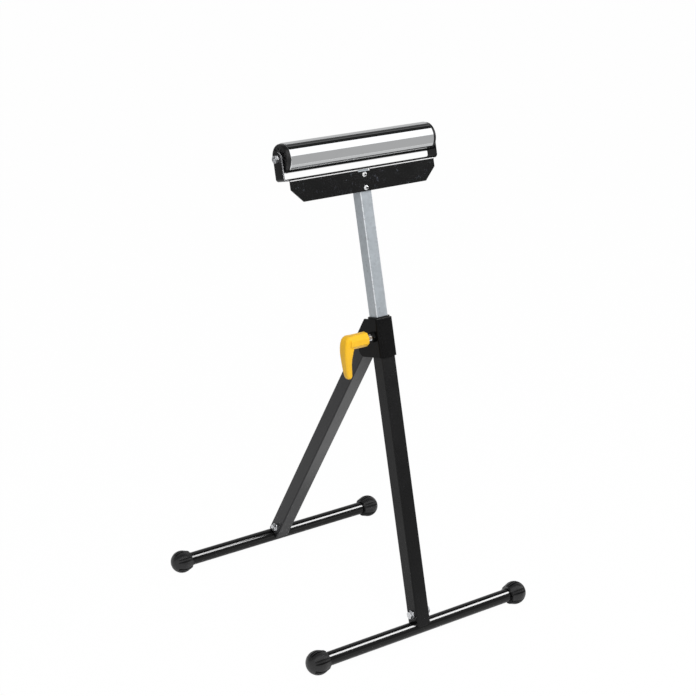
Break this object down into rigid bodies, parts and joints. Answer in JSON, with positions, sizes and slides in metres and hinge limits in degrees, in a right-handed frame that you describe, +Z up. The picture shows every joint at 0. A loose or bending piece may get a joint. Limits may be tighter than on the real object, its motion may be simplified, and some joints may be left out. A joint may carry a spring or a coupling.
{
  "type": "roller stand",
  "caption": "Folding workshop roller stand: chromed roller on a height-adjustable mast, leaning post and hinged rear leg with round foot bars and ball caps.",
  "frame": {"origin": "on the floor, midway between the four feet", "axes": "+X along the roller, +Y from the post to the rear leg, +Z up"},
  "size_m": [0.51, 0.5354, 0.9269],
  "materials": {
    "black_paint": "satin black powder coat",
    "grey_paint": "satin black powder coat, a little lighter",
    "gloss_black": "gloss black paint",
    "galvanised": "zinc-plated drawn tube, dull",
    "chrome": "polished chrome plate",
    "zinc": "bright zinc plate",
    "bearing_steel": "ground bearing steel",
    "cap_rubber": "moulded black rubber",
    "moulded_black": "moulded black plastic",
    "yellow_plastic": "moulded yellow plastic"
  },
  "bodies": {
    "post_frame": {"outer_post": "black_paint", "front_foot_bar": "gloss_black", "front_foot_bolt": "zinc", "front_foot_washers": "zinc", "front_foot_nut": "zinc", "front_cap_left": "cap_rubber", "front_cap_right": "cap_rubber", "hinge_bracket": "black_paint", "hinge_bolt": "zinc", "hinge_washers": "zinc", "hinge_nut": "zinc", "clamp_nut": "black_paint"},
    "leg_frame": {"rear_leg": "grey_paint", "rear_foot_bar": "gloss_black", "rear_foot_bolt": "zinc", "rear_foot_washers": "zinc", "rear_foot_nut": "zinc", "rear_cap_left": "cap_rubber", "rear_cap_right": "cap_rubber"},
    "mast_head": {"mast": "galvanised", "head_bracket": "black_paint", "head_screws": "zinc", "head_nuts": "zinc", "roller_axle": "zinc", "axle_nuts": "zinc", "axle_spacers": "zinc", "bearing_inner_rings": "bearing_steel"},
    "roller": {"roller_tube": "chrome", "roller_plug_left": "moulded_black", "roller_plug_right": "moulded_black", "bearing_outer_rings": "bearing_steel", "bearing_balls": "bearing_steel", "bearing_cages": "bearing_steel", "bearing_shields": "bearing_steel"},
    "pressure_pad": {"clamp_pad": "zinc"},
    "clamp_lever": {"clamp_screw": "zinc", "clamp_handle": "yellow_plastic"}
  },
  "joints": [
    {"name": "mast_height", "type": "slide", "parent": "post_frame", "child": "mast_head", "axis": [0, 0.2317, 0.9728], "range_m": [-0.185, 0.18]},
    {"name": "roller_spin", "type": "hinge", "parent": "mast_head", "child": "roller", "pos_m": [0, -0.03596, 0.89994], "axis": [1, 0, 0], "continuous": true},
    {"name": "leg_fold", "type": "hinge", "parent": "post_frame", "child": "leg_frame", "pos_m": [0, -0.08203, 0.54907], "axis": [-1, 0, 0], "range_deg": [0, 45.24]},
    {"name": "pad_press", "type": "slide", "parent": "post_frame", "child": "pressure_pad", "axis": [-1, 0, 0], "range_m": [0, 0.00175]},
    {"name": "clamp_turn", "type": "hinge", "parent": "pressure_pad", "child": "clamp_lever", "pos_m": [-0.0353, -0.11592, 0.56434], "axis": [-1, 0, 0], "range_deg": [0, 360]}
  ],
  "couplings": [
    {"joint": "pad_press", "follows": "clamp_turn", "m_per_rad": 0.00027852}
  ]
}
